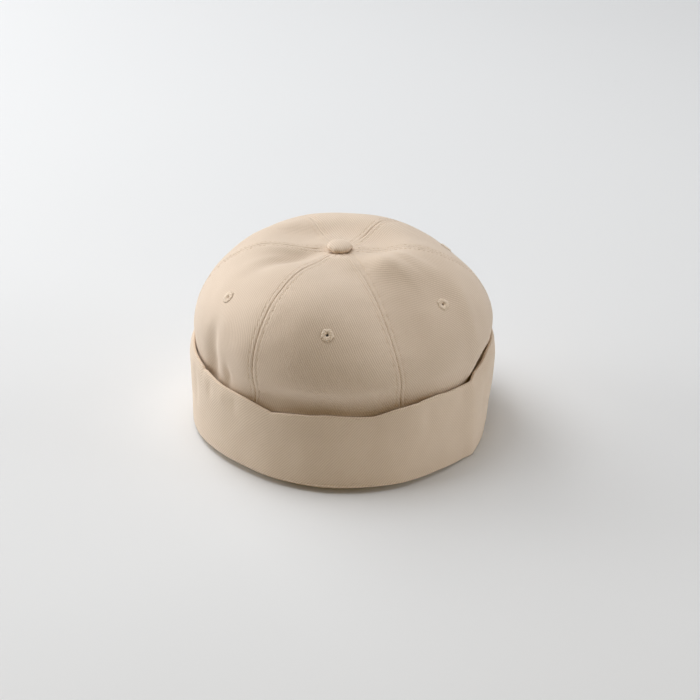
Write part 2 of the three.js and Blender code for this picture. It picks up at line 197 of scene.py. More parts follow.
# One thread of an eyelet, from the hole out: share of the way, rise and width
EYELET_THREAD = np.array([
    (0, -1.2, 0.5),
    (0.05, 0.1, 0.75),
    (0.16, 0.75, 0.85),
    (0.4, 1, 0.95),
    (0.7, 0.9, 1.05),
    (0.92, 0.45, 1),
    (1, 0, 0.45),
])

# Button
BUTTON_RADIUS = 8.1
BUTTON_HEIGHT = 4.7
BUTTON_GAP = 0.6
BUTTON_STEM = 1.6
BUTTON_EDGE = 1.2
BUTTON_ACROSS = -1.5
BUTTON_AHEAD = 1.2
BUTTON_STEPS = 96
BUTTON_ROWS = 24
BUTTON_EDGE_ROWS = 6
BUTTON_FULLNESS = 0.85
BUTTON_TIP = 0.081
STEM_TIP = 0.032
BUTTON_PLEATS = 9
BUTTON_PLEAT_DEPTH = 0.18
BUTTON_PLEAT_INSET = 0.03
BUTTON_PLEAT_START = 2.4
BUTTON_PLEAT_REACH = 2.2
BUTTON_PLEAT_SWAY = 0.8
BUTTON_BAKE_RADIUS = 0.49

# Cuff
CUFF_CLOTH = 2.4
TURN_IN_CLOTH = 1.2
TURN_IN_HEIGHT = 9
CUFF_FLARE = 0.35
CURL_HEIGHT = 11
FOLD_ROUND = 1.5
RIM_CLEARANCE = 0.4
CUFF_STEPS = 450
CUFF_WALL_ROWS = 42
CUFF_INNER_ROWS = 18
CUFF_FOLD_ROWS = 8
CUFF_LIP_ROWS = 8
CUFF_SOFTEN = 0.6
WALL_SOFTEN = 4.5
SOFTEN_OFFSETS = np.linspace(-2, 2, 9)
EDGE_CRISP = 2
LIP_ROLL = 0.8
LIP_ROLL_HEIGHT = 4.5
CUFF_WAVES = [(70, 0.3), (30, 0.16), (13, 0.05)]
LIP_WAVES = [(45, 0.3), (19, 0.18)]
SWAY_START = 12
FOOT_WIDTH = 3

# Height of the groove that the crown's rim stands in, and its two sides
CHANNEL = RIM_HEIGHT - RIM_CLEARANCE
CHANNEL_IN = RIM_RADIUS - PANEL_CLOTH - RIM_CLEARANCE
CHANNEL_OUT = RIM_RADIUS + RIM_CLEARANCE

# Small nicks in the lip: azimuth, depth and half width in degrees
LIP_NICKS = [(-58, 1.3, 0.9), (-20.5, 0.6, 1.2), (36, 0.5, 1.5)]

# Soft dents in the cuff: azimuth, height, push out or in, half height and half width
CUFF_DENTS = [
    (-66, 38, -0.8, 13, 4),
    (-52, 47, -0.8, 5, 3.5),
    (-44, 46, 0.6, 6, 4),
    (-37, 45, -0.7, 5, 3.5),
    (-12, 30, -0.6, 14, 7),
    (22, 36, 0.6, 12, 7),
    (40, 40, -0.7, 12, 6),
    (72, 34, -0.8, 15, 5),
]

# Cuff outline: azimuth, lip radius, lip height, inward curl of the lip, foot radius, lift of the fold
CUFF_COLUMNS = ["azimuth", "lip_radius", "lip_height", "lip_curl", "foot_radius", "foot_lift"]
CUFF_OUTLINE = np.array([
    (-150, 101.3, 57, 1, 98, 0),
    (-105, 99.3, 58, 1.2, 97, 0),
    (-80, 100, 57.3, 2, 98.6, 0.6),
    (-62, 99, 56.7, 1.2, 98.7, 2.2),
    (-49, 99.2, 54.8, 0.9, 98.3, 3.3),
    (-33, 99.2, 53, 0.9, 98.4, 3.9),
    (-20, 99.3, 49.5, 1, 100.6, 4),
    (0, 99, 52, 1, 103.4, 4.1),
    (18, 98.8, 50.2, 0.4, 103.6, 3.5),
    (28, 98.4, 53.9, -0.3, 103, 2.8),
    (44, 97.6, 56.3, -0.9, 99.6, 1.7),
    (58, 97.6, 53.9, 0, 99.3, 0.6),
    (63, 101, 53.9, 1.5, 100.8, 0),
    (68, 101, 56, 4.5, 99, 0),
    (84, 101, 57.5, 4.8, 95.3, 0),
    (93, 101, 58, 2.2, 95.3, 0),
    (110, 100.8, 58.5, 0.8, 95.5, 0),
    (150, 101.3, 57, 1, 98, 0),
])

# Bake map: a panel's two skins side by side, narrow strips for its edges beside them, and margins
CHART_MARGIN = 0.03
CHART_WIDTH = 4.2
CHART_ROW_MARGIN = 0.02
CHART_FILL = 0.97
STRIP_START = 0.985
STRIP_PITCH = 0.002
STRIP_FILL = 0.7
STRIP_MARGIN = 0.02
HOLE_STRIP = 5
TUBE_MARGIN = 0.1
CUFF_MARGIN = 0.01

# Cloth map of a thread: distance between threads, between its sides and between its rings
THREAD_APART = 3
THREAD_SIDE_STEP = 0.3
THREAD_RING_STEP = 0.6

# Twill: pitch of its ribs and length of the floats along a rib
TWILL_PITCH = 1.35
TWILL_FLOAT = 1.1

# Twill's unevenness: scale and size of the ribs' drift, step of the floats from rib to rib,
# share of the weave that the ribs make, and scales of the yarn's and the cloth's patches
TWILL_DRIFT_SCALE = 0.09
TWILL_DRIFT = 1.6
FLOAT_STEP = 0.37
RIB_SHARE = 0.7
YARN_SCALE = 1.7
PATCH_SCALE = 28

# Shares of the weave, the yarn and the patches in the twill's tone, and of the yarn in its relief
WEAVE_TONE = 0.6
YARN_TONE = 0.45
PATCH_TONE = 0.45
YARN_RELIEF = 0.35
TWILL_RELIEF = 0.16
TWILL_ROUGHNESS = 0.84
TWILL_ROUGHNESS_SPREAD = 0.12

# The three cloths: colours of hollows and ribs, the ribs' lean from upright and the relief's strength
CROWN_TWILL = {
    "dark": (0.62, 0.494, 0.383),
    "light": (0.87, 0.739, 0.613),
    "lean": 30,
    "bump": 0.68,
}
CUFF_TWILL = {
    "dark": (0.641, 0.511, 0.392),
    "light": (0.9, 0.764, 0.628),
    "lean": -36,
    "bump": 0.6,
}
BUTTON_TWILL = {
    "dark": (0.617, 0.491, 0.381),
    "light": (0.866, 0.735, 0.61),
    "lean": 30,
    "bump": 0.38,
}

# Thread: its two colours where sewn and in the eyelets, turns of its ply across and along, and its patches
SEWN_COLOURS = ((0.66, 0.52, 0.39), (0.9, 0.75, 0.6))
EYELET_COLOURS = ((0.76, 0.63, 0.5), (0.95, 0.83, 0.7))
PLY_WAY = (9, 14, 0)
THREAD_PATCH_SCALE = 900
PLY_TONE = 0.3
THREAD_PATCH_TONE = 0.7
THREAD_RELIEF = 0.08
THREAD_BUMP = 0.4
THREAD_ROUGHNESS = 0.6
THREAD_ROUGHNESS_SPREAD = 0.2

# Floor, in metres, with its two greys and the scale of its patches
FLOOR_HALF = 6
FLOOR_DARK = (0.77, 0.782, 0.797)
FLOOR_LIGHT = (0.794, 0.807, 0.822)
FLOOR_PATCH_SCALE = 2.5

# Lamps, in metres and watts: place, diameter, power and colour, all aimed at the cap
LAMP_AIM = (0, 0, 0.05)
WHITE = (1, 1, 1)
AMBER = (1, 0.6, 0)
LAMPS = {
    "left_low": ((-1.9, 0.35, 0.5), 0.9, 13, WHITE),
    "left_front": ((-1.8, -0.5, 0.6), 1, 3.5, WHITE),
    "back_left": ((-1.2, 1.2, 1.2), 1.4, 15.4, WHITE),
    "right_low": ((1.9, -0.2, 0.4), 0.9, 9.5, WHITE),
    "right_back": ((1.7, 0.7, 0.6), 1, 5.2, WHITE),
    "top_back": ((0, 0.7, 1.9), 1.2, 3.4, WHITE),
    "top": ((0, -0.05, 2), 1.2, 9.2, WHITE),
    "top_left": ((-0.8, 0.3, 1.8), 1.2, 13.5, WHITE),
    "front": ((0.2, -1.9, 0.8), 1.2, 3.1, AMBER),
}

# Camera of the photograph
CAMERA_AZIMUTH = 6.6
CAMERA_ELEVATION = 28.2
CAMERA_DISTANCE = 1575
CAMERA_LENS = 124
CAMERA_SENSOR = 36
CAMERA_AIM_HEIGHT = 55
CAMERA_AIM_RIGHT = 5.13
CAMERA_AIM_DOWN = 7.22


def at_azimuth(azimuth, radius, height):
    turn = np.radians(azimuth)
    across = radius * np.sin(turn)
    ahead = -radius * np.cos(turn)
    return np.stack(np.broadcast_arrays(across, ahead, height), axis=-1)


def axis_distance(points):
    return np.hypot(points[..., 0], points[..., 1])


def unit(vectors):
    return vectors / np.linalg.norm(vectors, axis=-1, keepdims=True)


# 1 in the middle of a ridge, dent or band, falling softly to 0 past its reach
def bell(offset, reach):
    return np.exp(-((offset / reach) ** 2))


# Smooth closed curve through a column of SECTIONS
def section_value(column, azimuth):
    values = np.array(SECTIONS[column])
    place = np.mod(azimuth, 360) / SECTION_ANGLE
    row = np.floor(place).astype(int)
    t = place - row
    a, b, c, d = (values[(row + step) % len(values)] for step in (-1, 0, 1, 2))
    slope = c - a
    bend = 2 * a - 5 * b + 4 * c - d
    twist = 3 * b - a - 3 * c + d
    return 0.5 * (2 * b + t * (slope + t * (bend + t * twist)))


# Crown surface before folds
def dome_point(azimuth, station):
    reach = section_value("reach", azimuth)
    crest = section_value("crest", azimuth)
    square = section_value("square", azimuth)
    dish_radius = section_value("dish", azimuth)
    down = np.maximum(station - BELLY_STATION, 0)
    wall_radius = reach + (RIM_RADIUS - reach) * down ** TUCK
    wall_height = BELLY_HEIGHT + (RIM_HEIGHT - BELLY_HEIGHT) * down
    share = np.sin(np.clip(station, 0, 1) * np.pi / 2) ** TOP_SPREAD
    top_radius = reach * share
    rise = np.maximum(1 - share ** square, 0) ** (1 / square)
    dish = (crest - BUTTON_LEVEL) * np.exp(-((top_radius / dish_radius) ** DISH_POWER))
    top_height = BELLY_HEIGHT + (crest - BELLY_HEIGHT) * rise - dish
    on_wall = station > BELLY_STATION
    radius = np.where(on_wall, wall_radius, top_radius)
    height = np.where(on_wall, wall_height, top_height)
    return at_azimuth(azimuth, radius, height)


# Point, directions round and down the crown, and outward normal
def dome_frame(azimuth, station):
    before = dome_point(azimuth - PROBE_TURN, station)
    round_way = unit(dome_point(azimuth + PROBE_TURN, station) - before)
    above = dome_point(azimuth, np.maximum(station - PROBE_STATION, FIRST_STATION))
    down = unit(dome_point(azimuth, station + PROBE_STATION) - above)
    return dome_point(azimuth, station), round_way, down, unit(np.cross(down, round_way))


def fold_push(points, folds):
    push = np.zeros(points.shape[:-1])
    for azimuth, station, height, length, width, lean in folds:
        centre, round_way, down, out = dome_frame(np.float64(azimuth), np.float64(station))
        along = down * math.cos(math.radians(lean)) + round_way * math.sin(math.radians(lean))
        across = unit(np.cross(along, out))
        offset = points - centre
        a = offset @ along / length
        b = offset @ across / width
        c = offset @ out / FOLD_DEPTH
        push += height * np.exp(-a * a - b * b - c * c)
    return push


# Smooth seeded unevenness from a few plane waves of each length
def soft_waves(points, waves, seed):
    rng = np.random.default_rng(seed)
    total = np.zeros(points.shape[:-1])
    for wavelength, height in waves:
        ways = unit(rng.normal(size=(WAVES_EACH, 3)))
        lengths = wavelength * rng.uniform(SHORTEST_WAVE, LONGEST_WAVE, WAVES_EACH)
        phases = rng.uniform(0, 2 * np.pi, WAVES_EACH)
        for way, length, phase in zip(ways, lengths, phases):
            wave = np.sin(2 * np.pi * (points @ way) / length + phase)
            total += height / math.sqrt(WAVES_EACH) * wave
    return total


def seam_azimuth(seam, station):
    t = np.clip(station / SEAM_TURN_STATION, 0, 1)
    top, side = SEAMS[seam % len(SEAMS)]
    return top + (side - top) * t * t * (3 - 2 * t)


def nearest_seam_turn(azimuth, station):
    turns = []
    for seam in range(len(SEAMS)):
        turn = np.mod(azimuth - seam_azimuth(seam, station) + 180, 360) - 180
        turns.append(np.abs(turn))
    return np.min(turns, axis=0)


# Share of the fine relief: none under the button or at the rim, all of it on the open cloth
def relief_share(radius, station):
    from_button = np.clip((radius - BUTTON_RADIUS) / BUTTON_RADIUS, 0, 1)
    from_rim = np.clip((RIM_STATION - station) * RIM_FADE, 0, 1)
    return from_button * from_rim


# Crown face without the seams' fine relief: the point, its outward normal and its distance from the axis
def crown_cloth(azimuth, station):
    point, _, _, out = dome_frame(azimuth, station)
    radius = axis_distance(point)
    to_seam = np.radians(nearest_seam_turn(azimuth, station)) * radius
    pinch_share = np.minimum(np.minimum(radius / BUTTON_RADIUS, 1), RIM_STATION - station)
    pinch = SEAM_PINCH * pinch_share * bell(to_seam, PINCH_REACH)
    gathers = GATHER_HEIGHT * np.cos(GATHER_COUNT * np.radians(azimuth))
    gathers = gathers * bell(radius - GATHER_RADIUS, GATHER_REACH)
    fine = fold_push(point, CREASES) + gathers + soft_waves(point, CLOTH_WAVES, SEED)
    push = fold_push(point, FOLDS) - pinch + fine * relief_share(radius, station)
    return point + out * push[..., None], out, radius


def pucker_phase(panel, side):
    return PANEL_PHASE * panel + (SIDE_PHASE if side > 0 else 0)


# Fine relief beside a seam, from the distances to the panel's edge and the axis, the length
# along the cloth and the phase of the puckers
def seam_relief(seam, distance, radius, along, phase):
    depth, first = SEAM_SHOWS[seam % len(SEAM_SHOWS)]
    shown = depth * np.clip((radius - first) / SEAM_START, 0, 1)
    roll = EDGE_ROLL * shown * bell(distance, ROLL_REACH)
    welt = WELT_HEIGHT * bell(distance - WELT_PLACE, WELT_REACH)
    dip = STITCH_DIP * bell(distance - STITCH_LINE, DIP_REACH)
    turn = 2 * np.pi * along / PUCKER_LENGTH
    short_wave = np.sin(turn * SHORT_PUCKER_RATE + SHORT_PUCKER_PHASE * phase)
    wave = np.sin(turn + phase) + SHORT_PUCKER * short_wave
    pucker = PUCKER * wave * bell(distance - STITCH_LINE, PUCKER_REACH)
    return welt - roll - dip + pucker


# Stations, lengths along the cloth from the button, and points down a meridian or a seam
def walk(azimuth, seam=None):
    stations = np.linspace(FIRST_STATION, RIM_STATION, WALK_STEPS)
    line = np.full_like(stations, azimuth) if seam is None else seam_azimuth(seam, stations)
    points = crown_cloth(line, stations)[0]
    steps = np.linalg.norm(np.diff(points, axis=0), axis=1)
    return stations, np.concatenate([[0], np.cumsum(steps)]), points


# Lengths along a walk, from a radius near the button to the height where the cuff hides the crown
def shown_span(stations, lengths, points, first_radius):
    top = stations < BELLY_STATION
    wall = stations > BELLY_STATION
    first = np.interp(first_radius, axis_distance(points)[top], lengths[top])
    last = np.interp(-HIDDEN_FROM, -points[wall, 2], lengths[wall])
    return first, last


# Vertices, faces and the corners' maps of one mesh, collected strip by strip
class Shell:
    def __init__(self):
        self.points = []
        self.count = 0
        self.faces = []
        self.cloth = []
        self.bake = []

    def add_points(self, points):
        numbers = self.count + np.arange(points[..., 0].size)
        self.points.append(points.reshape(-1, 3))
        self.count += numbers.size
        return numbers.reshape(points.shape[:-1])

    # Quads over a grid of vertex numbers, with a cloth and a bake place for each grid corner
    def add_grid(self, numbers, cloth, bake, keep=None, flip=False):
        rows, columns = numbers.shape
        row, column = np.meshgrid(np.arange(rows - 1), np.arange(columns - 1), indexing="ij")
        if keep is not None:
            row = row[keep]
            column = column[keep]
        row = row.ravel()
        column = column.ravel()
        ring = [(0, 0), (1, 0), (1, 1), (0, 1)]
        if flip:
            ring = ring[::-1]
        places = [(row + down, column + right) for down, right in ring]
        self.faces.append(np.stack([numbers[place] for place in places], axis=1))
        self.cloth.append(np.stack([cloth[place] for place in places], axis=1))
        self.bake.append(np.stack([bake[place] for place in places], axis=1))

    # A strip of quads between two rows of vertices that share a line of cloth
    def add_edge(self, outer, inner, line, slot, flip=False):
        numbers = np.stack([outer, inner], axis=1)
        cloth = np.stack([line, line], axis=1)
        self.add_grid(numbers, cloth, strip_map(numbers.shape, slot), flip=flip)

    def build(self, name, material):
        points = np.concatenate(self.points) * MM
        faces = np.concatenate(self.faces)
        mesh = bpy.data.meshes.new(name)
        mesh.from_pydata(points, [], faces)
        for label, corners in (("cloth", self.cloth), ("OFBake", self.bake)):
            layer = mesh.uv_layers.new(name=label)
            layer.data.foreach_set("uv", np.concatenate(corners).reshape(-1).astype(np.float32))
        mesh.materials.append(material)
        mesh.shade_smooth()
        mesh.set_sharp_from_angle(angle=math.radians(SHARP_ANGLE))
        piece = bpy.data.objects.new(name, mesh)
        bpy.context.scene.collection.objects.link(piece)
        return piece


# A narrow upright strip of the bake map for edges and other small faces
def strip_map(shape, slot):
    down, across = np.meshgrid(np.linspace(0, 1, shape[0]), np.linspace(0, 1, shape[1]), indexing="ij")
    u = STRIP_START + STRIP_PITCH * (slot + STRIP_FILL * across)
    v = STRIP_MARGIN + (1 - 2 * STRIP_MARGIN) * down
    return np.stack([u, v], axis=-1)


def place_piece(piece, slot, *nodes):
    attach(piece, "root")
    if nodes:
        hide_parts(*nodes)


# Local axes at an eyelet: origin, round, up and out
def eyelet_place(azimuth, distance):
    stations, lengths, _ = walk(azimuth)
    at = np.interp([distance - EYELET_RING, distance, distance + EYELET_RING], lengths, stations)
    turn = np.array([0, -EYELET_PROBE_TURN, EYELET_PROBE_TURN])
    above, origin, below = crown_cloth(np.full(3, azimuth), at)[0]
    _, left, right = crown_cloth(azimuth + turn, np.full(3, at[1]))[0]
    round_way = unit(right - left)
    out = unit(np.cross(below - above, round_way))
    return origin, round_way, np.cross(out, round_way), out


# Lengths along the cloth and stations of a panel's rows
def panel_rows(index):
    start = SEAMS[index - 1][1]
    end = SEAMS[index][1]
    stations, lengths, points = walk(end - np.mod(end - start, 360) / 2)
    first, hidden = shown_span(stations, lengths, points, TOP_HOLE)
    shown_rows = np.linspace(first, hidden, int((hidden - first) / ROW_STEP))
    hidden_count = int((lengths[-1] - hidden) / HIDDEN_ROW_STEP)
    hidden_rows = np.linspace(hidden, lengths[-1], hidden_count)[1:]
    row_length = np.concatenate([shown_rows, hidden_rows])
    return row_length, np.interp(row_length, lengths, stations)


# Azimuths of a panel's grid and the distances of its places from the panel's two edges
def panel_columns(index, row_station):
    end = seam_azimuth(index, row_station)
    turn = np.mod(end - seam_azimuth(index - 1, row_station), 360)
    row_middle = end - turn / 2
    row_radius = axis_distance(dome_point(row_middle, row_station))
    half = np.radians(turn / 2) * row_radius - SEAM_GAP / 2
    width = 2 * half[:, None]
    edge = EDGE_COLUMNS[None, :] * np.minimum(half / EDGE_FULL_WIDTH, 1)[:, None]
    last = edge[:, -1:]
    inside = last + (width - 2 * last) * np.linspace(0, 1, MIDDLE_COLUMNS)[None, 1:-1]
    left_side = np.concatenate([edge, inside, width - edge[:, ::-1]], axis=1)
    across = left_side - half[:, None]
    azimuth = row_middle[:, None] + np.degrees(across / row_radius[:, None])
    return azimuth, left_side, width - left_side


# Bake places of a panel's outer and inner skin
def panel_charts(across, along):
    half = across.max()
    length = along.max()
    size = max(CHART_WIDTH * half, (1 + 2 * CHART_ROW_MARGIN) * length)
    u = across + (1 + CHART_MARGIN) * half
    v = (1 + CHART_ROW_MARGIN) * length - along
    beside = 2 * (1 + CHART_MARGIN) * half
    outer = np.stack([CHART_FILL * u, v], axis=-1) / size
    inner = np.stack([CHART_FILL * (u + beside), v], axis=-1) / size
    return outer, inner


# Wall of the eyelet's hole, between kept and removed cells of the two skins
def add_hole_wall(shell, keep, outer_numbers, inner_numbers, cloth):
    for row, column in np.argwhere(~keep):
        sides = [
            ((row - 1, column), (row, column), (row, column + 1)),
            ((row, column + 1), (row, column + 1), (row + 1, column + 1)),
            ((row + 1, column), (row + 1, column + 1), (row + 1, column)),
            ((row, column - 1), (row + 1, column), (row, column)),
        ]
        for beside, start, end in sides:
            if keep[beside]:
                outer = np.array([outer_numbers[start], outer_numbers[end]])
                inner = np.array([inner_numbers[start], inner_numbers[end]])
                shell.add_edge(outer, inner, np.stack([cloth[start], cloth[end]]), HOLE_STRIP)


def build_panel(index, name, place, material):
    row_length, row_station = panel_rows(index)
    azimuth, left_side, right_side = panel_columns(index, row_station)
    station = np.broadcast_to(row_station[:, None], azimuth.shape)
    along = np.broadcast_to(row_length[:, None], azimuth.shape)
    across = (left_side - right_side) / 2
    cloth_face, out, radius = crown_cloth(azimuth, station)
    relief = seam_relief(index - 1, left_side, radius, along, pucker_phase(index, -1))
    relief = relief + seam_relief(index, right_side, radius, along, pucker_phase(index, 1))
    origin, round_way, up, eyelet_out = place
    offset = cloth_face - origin
    from_eyelet = np.hypot(offset @ round_way, offset @ up)
    near_eyelet = np.abs(offset @ eyelet_out) < EYELET_RING * 2
    from_eyelet = np.where(near_eyelet, from_eyelet, np.inf)
    pull = EYELET_PULL * bell(from_eyelet, EYELET_PULL_REACH)
    outer = cloth_face + out * (relief_share(radius, station) * relief - pull)[..., None]
    inner = cloth_face - out * (PANEL_CLOTH + pull)[..., None]

    shell = Shell()
    outer_numbers = shell.add_points(outer)
    inner_numbers = shell.add_points(inner)
    cloth = np.stack([across, along], axis=-1)
    outer_chart, inner_chart = panel_charts(across, along)
    cut = from_eyelet < EYELET_CUT
    keep = ~(cut[:-1, :-1] & cut[1:, :-1] & cut[1:, 1:] & cut[:-1, 1:])
    shell.add_grid(outer_numbers, cloth, outer_chart, keep)
    shell.add_grid(inner_numbers, cloth, inner_chart, keep, flip=True)
    edges = [(np.s_[0], True), (np.s_[-1], False), (np.s_[:, 0], False), (np.s_[:, -1], True)]
    for slot, (edge, flip) in enumerate(edges):
        shell.add_edge(outer_numbers[edge], inner_numbers[edge], cloth[edge], slot, flip)
    add_hole_wall(shell, keep, outer_numbers, inner_numbers, cloth)
    panel = shell.build(f"panel_{name}", material)
    place_piece(panel, "crown_cloth", f"crown_panel_{name}")


# Tubes along paths, with a radius for each point, all flattened alike and open at both ends
def add_tubes(shell, paths, sides_way, out_way, radii, sides, flatten):
    turn = np.linspace(0, 2 * np.pi, sides, endpoint=False)[:, None]
    ring = np.cos(turn) * sides_way[:, :, None, :]
    ring = ring + flatten * np.sin(turn) * out_way[:, :, None, :]
    numbers = shell.add_points(paths[:, :, None, :] + radii[:, :, None, None] * ring)
    tubes, rings, _ = numbers.shape
    wide = math.ceil(math.sqrt(tubes))
    fill = 1 - 2 * TUBE_MARGIN
    down, across = np.meshgrid(np.arange(rings), np.arange(sides + 1), indexing="ij")
    inset = TUBE_MARGIN + fill * np.stack([across / sides, down / (rings - 1)], axis=-1)
    for tube in range(tubes):
        loop = np.concatenate([numbers[tube], numbers[tube][:, :1]], axis=1)
        round_place = tube * THREAD_APART + across * THREAD_SIDE_STEP
        cloth = np.stack([round_place, down * THREAD_RING_STEP], axis=-1)
        corner = np.array([tube % wide, tube // wide])
        shell.add_grid(loop, cloth, (corner + inset) / wide)


def build_eyelet(name, place, material, rng):
    origin, round_way, up, out = place
    shares, rise, width = EYELET_THREAD.T
    turn = np.linspace(0, 2 * np.pi, EYELET_THREADS, endpoint=False)
    turn = turn + rng.normal(0, EYELET_TURN_JITTER, EYELET_THREADS)
    reach = EYELET_RING + rng.normal(0, EYELET_JITTER, EYELET_THREADS)
    lift = 1 + rng.normal(0, EYELET_RISE_JITTER, EYELET_THREADS)
    ray = np.cos(turn)[:, None] * round_way + np.sin(turn)[:, None] * up
    side = -np.sin(turn)[:, None] * round_way + np.cos(turn)[:, None] * up
    radius = EYELET_HOLE + (reach[:, None] - EYELET_HOLE) * shares
    height = rise * EYELET_RISE * lift[:, None] - EYELET_PULL
    paths = origin + radius[..., None] * ray[:, None, :] + height[..., None] * out
    half_gap = np.pi * (radius + EYELET_SPACING_RADIUS) / EYELET_THREADS
    radii = width * half_gap * EYELET_OVERLAP
    sides_way = np.broadcast_to(side[:, None, :], paths.shape)
    out_way = np.broadcast_to(out, paths.shape)
    shell = Shell()
    add_tubes(shell, paths, sides_way, out_way, radii, EYELET_SIDES, EYELET_FLATTEN)
    piece = shell.build(f"worked_eyelet_{name}", material)
    place_piece(piece, "thread", f"eyelet_{name}")


# Two sunk rows of topstitching on one panel, beside its two seams
def build_topstitch(index, name, material, rng):
    shell = Shell()
    shares = np.linspace(0, 1, len(STITCH_TAPER))
    arch = STITCH_ARCH * np.sin(np.pi * shares) ** STITCH_ARCH_POWER - STITCH_SINK
    for side in (-1, 1):
        seam = index if side > 0 else index - 1
        stations, lengths, points = walk(0, seam)
        first, last = shown_span(stations, lengths, points, STITCH_FIRST_RADIUS)
        count = int((last - first) / STITCH_PITCH)
        start = first + STITCH_PITCH * np.arange(count) + rng.normal(0, STITCH_SLIP, count)
        along = start[:, None] + STITCH_LENGTH * shares
        station = np.interp(along, lengths, stations)
        radius = np.interp(along, lengths, axis_distance(points))
        drift = rng.normal(0, STITCH_DRIFT, count)[:, None]
        turn = np.degrees((STITCH_LINE + SEAM_GAP / 2 + drift) / radius)
        cloth_face, out, _ = crown_cloth(seam_azimuth(seam, station) - side * turn, station)
        distance = np.full_like(along, STITCH_LINE)
        relief = seam_relief(seam, distance, radius, along, pucker_phase(index, side))
        height = relief_share(radius, station) * relief + STITCH_RADIUS * arch
        paths = cloth_face + out * height[..., None]
        ahead = unit(np.gradient(paths, axis=1))
        side_way = unit(np.cross(ahead, out))
        radii = np.broadcast_to(STITCH_RADIUS * STITCH_TAPER, along.shape)
        add_tubes(shell, paths, side_way, out, radii, STITCH_SIDES, 1)
    piece = shell.build(f"topstitch_{name}", material)
    place_piece(piece, "thread")


# Radii and heights down the button: its dome, its rounded edge and the stem under it
def button_profile():
    seat = BUTTON_LEVEL + BUTTON_GAP
    foot = BUTTON_LEVEL - PANEL_CLOTH
    angle = np.linspace(0, np.pi / 2, BUTTON_ROWS)[::-1]
    dome_radius = BUTTON_RADIUS * np.cos(angle)
    dome_radius[0] = BUTTON_TIP
    dome_rise = (BUTTON_HEIGHT - BUTTON_EDGE) * np.sin(angle) ** BUTTON_FULLNESS
    edge_angle = np.linspace(0, np.pi / 2, BUTTON_EDGE_ROWS)[1:]
    edge_radius = BUTTON_RADIUS - BUTTON_EDGE * (1 - np.cos(edge_angle))
    edge_rise = -BUTTON_EDGE * np.sin(edge_angle)
    radius = np.concatenate([dome_radius, edge_radius, [BUTTON_STEM, BUTTON_STEM, STEM_TIP]])
    cap_height = seat + BUTTON_EDGE + np.concatenate([dome_rise, edge_rise])
    return radius, np.concatenate([cap_height, [seat, foot, foot]])


# The covered button: cloth drawn over a low dome, pleated a little at its edge
def build_button(material):
    radius, height = button_profile()
    azimuth = np.linspace(0, 360, BUTTON_STEPS, endpoint=False)
    turn = np.radians(azimuth)
    pleat = BUTTON_PLEAT_DEPTH * np.cos(BUTTON_PLEATS * turn + BUTTON_PLEAT_SWAY * np.sin(2 * turn))
    pleated = radius > BUTTON_PLEAT_START
    near_edge = bell(radius - BUTTON_RADIUS, BUTTON_PLEAT_REACH) * pleated
    inset = near_edge[:, None] * (pleat + BUTTON_PLEAT_INSET) / BUTTON_RADIUS
    points = at_azimuth(azimuth, radius[:, None] * (1 - inset), height[:, None])
    points = points + [BUTTON_ACROSS, -BUTTON_AHEAD, 0]
    shell = Shell()
    numbers = shell.add_points(points)
    loop = np.concatenate([numbers, numbers[:, :1]], axis=1)
    path = np.concatenate([[0], np.cumsum(np.hypot(np.diff(radius), np.diff(height)))])
    closed_turn = np.append(turn, 2 * np.pi)
    reach = np.broadcast_to(path[:, None], loop.shape)
    cloth = np.stack([reach * np.sin(closed_turn), reach * np.cos(closed_turn)], axis=-1)
    shell.add_grid(loop, cloth, 0.5 + BUTTON_BAKE_RADIUS * cloth / path[-1])
    piece = shell.build("covered_button", material)
    place_piece(piece, "button_cloth", "button")


# A column of CUFF_OUTLINE round the cap, softened over some degrees
def cuff_value(column, azimuth, soften=CUFF_SOFTEN):
    known = CUFF_OUTLINE[:, 0]
    values = CUFF_OUTLINE[:, CUFF_COLUMNS.index(column)]
    weights = np.exp(-(SOFTEN_OFFSETS ** 2))
    total = sum(
        weight * np.interp(azimuth + soften * offset, known, values, period=360)
        for offset, weight in zip(SOFTEN_OFFSETS, weights)
    )
    return total / weights.sum()


def cuff_lip_height(azimuth):
    rim_line = at_azimuth(azimuth, RIM_RADIUS, 0)
    height = cuff_value("lip_height", azimuth) + soft_waves(rim_line, LIP_WAVES, SEED + 1)
    for nick, depth, half_width in LIP_NICKS:
        height = height - depth * bell(azimuth - nick, half_width)
    return height


